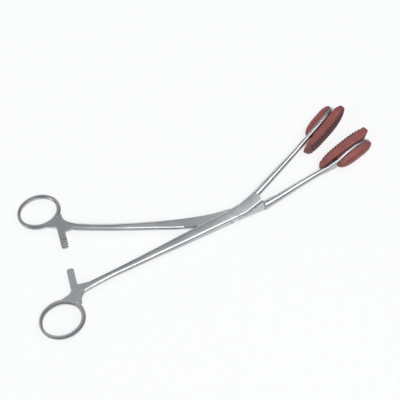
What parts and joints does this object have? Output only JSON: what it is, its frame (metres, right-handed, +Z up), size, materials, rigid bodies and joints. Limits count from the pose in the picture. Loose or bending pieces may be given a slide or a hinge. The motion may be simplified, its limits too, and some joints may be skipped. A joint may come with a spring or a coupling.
{
  "type": "uterine forceps",
  "caption": "Ring-handled holding forceps with a box lock, a ratchet and windowed jaws that carry ribbed rubber pads.",
  "frame": {"origin": "middle of the underside, below the centre of the whole as it lies open", "axes": "+X along the middle line between the two handles towards the jaws, +Y towards the male handle, +Z up along the lock pin, which is the shortest way through"},
  "size_m": [0.2652, 0.1186, 0.013],
  "materials": {
    "steel": "satin",
    "rubber": "matt"
  },
  "bodies": {
    "female": {"female_arm": "steel", "lock_pin": "steel", "female_jaw_pad": "rubber"},
    "male": {"male_arm": "steel", "male_jaw_pad": "rubber"}
  },
  "joints": [
    {"name": "box_lock", "type": "hinge", "parent": "female", "child": "male", "pos_m": [0.01672, -0.00797, 0.0065], "axis": [0, 0, -1], "range_deg": [-5, 40]}
  ]
}
